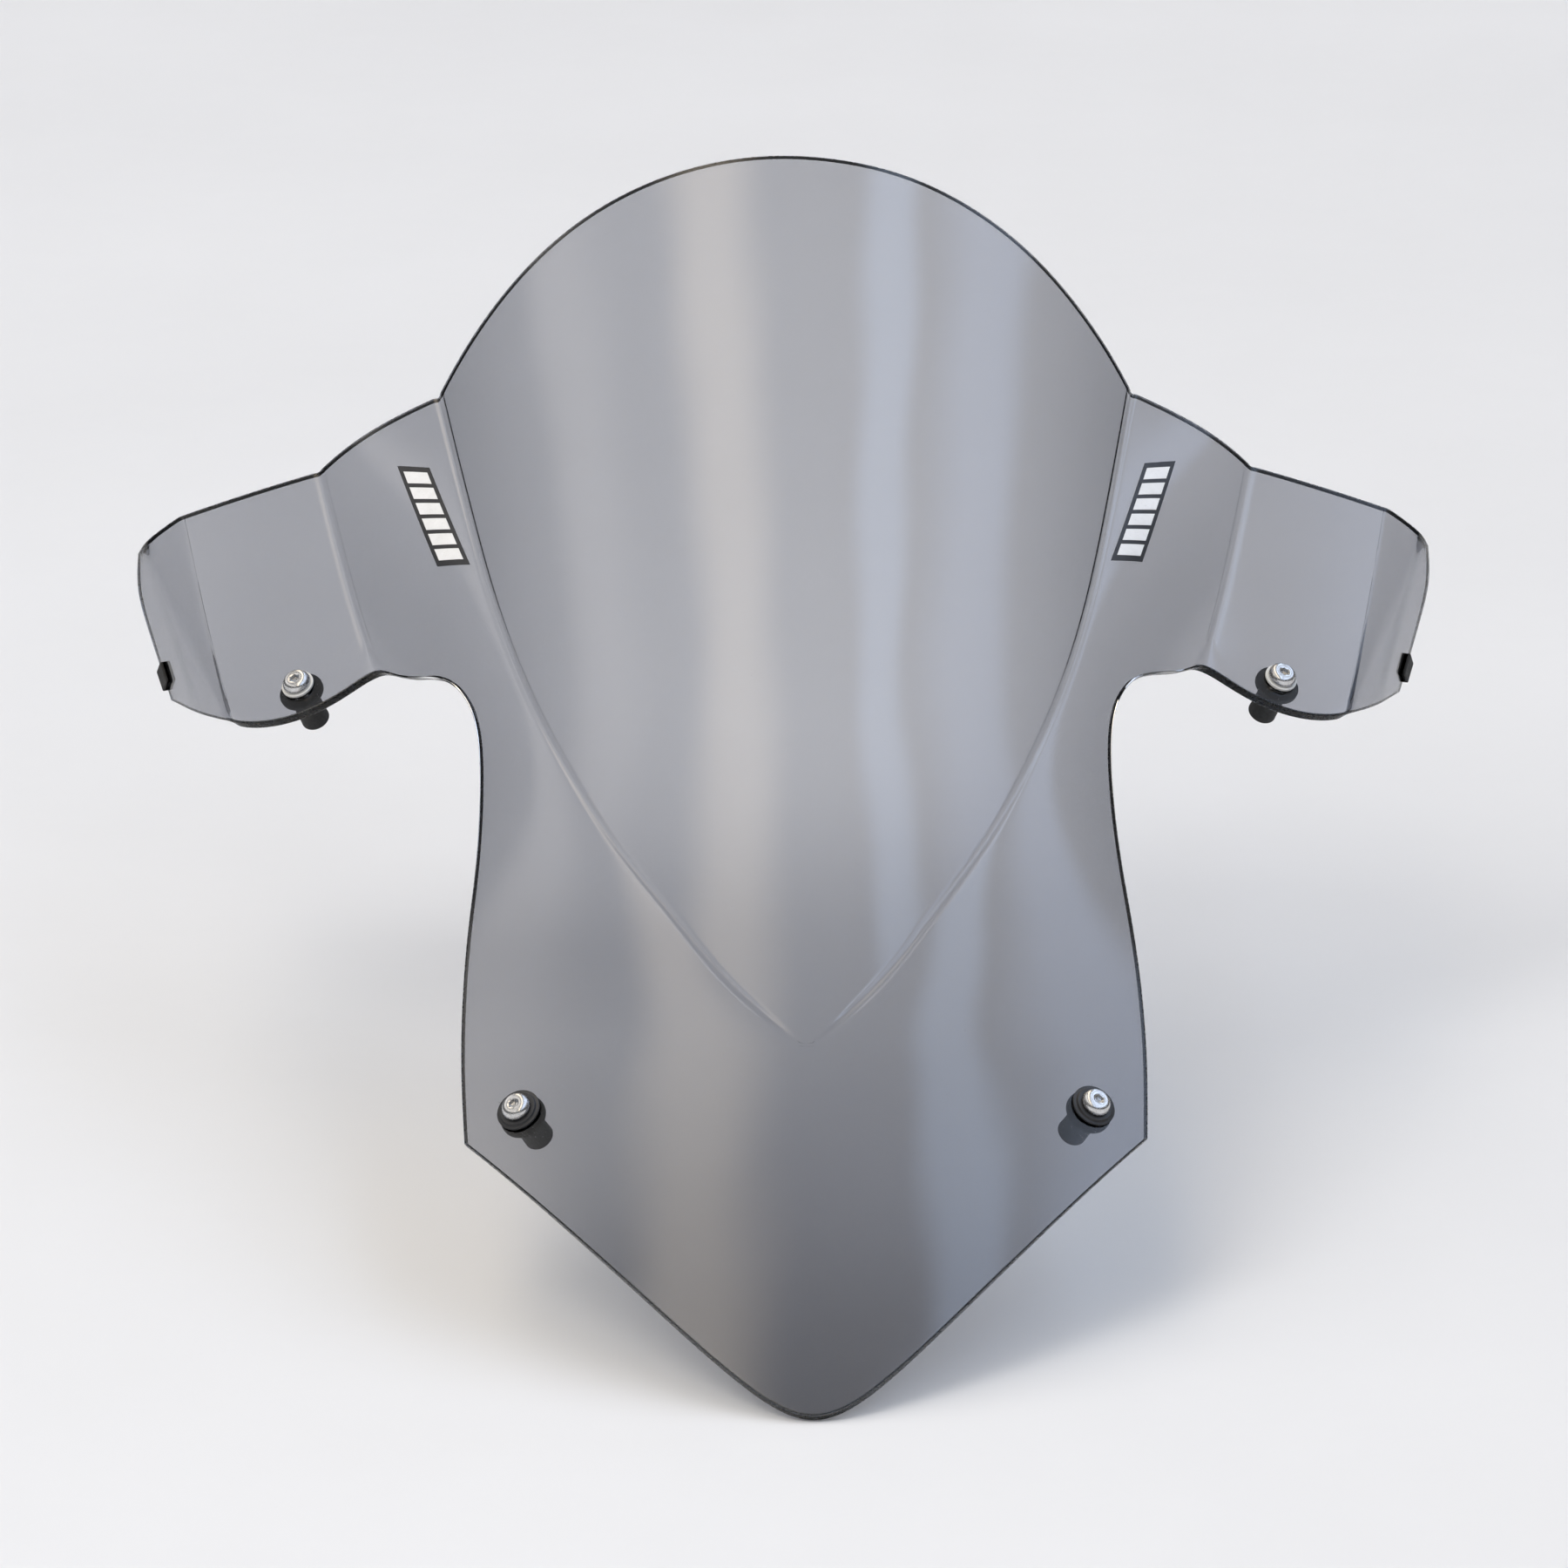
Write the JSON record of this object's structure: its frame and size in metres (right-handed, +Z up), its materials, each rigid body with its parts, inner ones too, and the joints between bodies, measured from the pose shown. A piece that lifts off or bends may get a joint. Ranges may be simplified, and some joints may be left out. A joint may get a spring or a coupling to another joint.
{
  "type": "motorcycle windshield screen",
  "caption": "Smoke-tinted windshield screen for a faired sport motorcycle, with a raised bubble, side wings and screws with rubber well nuts that hold it to the fairing.",
  "frame": {"origin": "midway between the two lower screws, at the height where their axes meet the sheet's outer face", "axes": "+Z up, +Y towards the rider (the rear of the machine), +X across to the side named right; the sheet's centre line rakes back 40 degrees from level, as it stands on the machine"},
  "size_m": [0.4376, 0.4077, 0.2981],
  "materials": {
    "smoke_acrylic": "polished, clear, light smoke tint",
    "stainless_steel": "bright machined",
    "black_nylon": "moulded, satin",
    "white_nylon": "moulded, satin",
    "black_rubber": "moulded, matte",
    "brass": "machined",
    "white_vinyl": "cut vinyl film, satin"
  },
  "bodies": {
    "root": {"screen": "smoke_acrylic", "lower_washer_left": "black_nylon", "lower_screw_left": "stainless_steel", "lower_well_nut_left": "black_rubber", "lower_brass_insert_left": "brass", "wing_washer_left": "white_nylon", "wing_screw_left": "stainless_steel", "wing_well_nut_left": "black_rubber", "wing_brass_insert_left": "brass", "edge_buffer_left": "black_rubber", "shoulder_mark_left": "white_vinyl", "lower_washer_right": "black_nylon", "lower_screw_right": "stainless_steel", "lower_well_nut_right": "black_rubber", "lower_brass_insert_right": "brass", "wing_washer_right": "white_nylon", "wing_screw_right": "stainless_steel", "wing_well_nut_right": "black_rubber", "wing_brass_insert_right": "brass", "edge_buffer_right": "black_rubber", "shoulder_mark_right": "white_vinyl"}
  },
  "joints": []
}
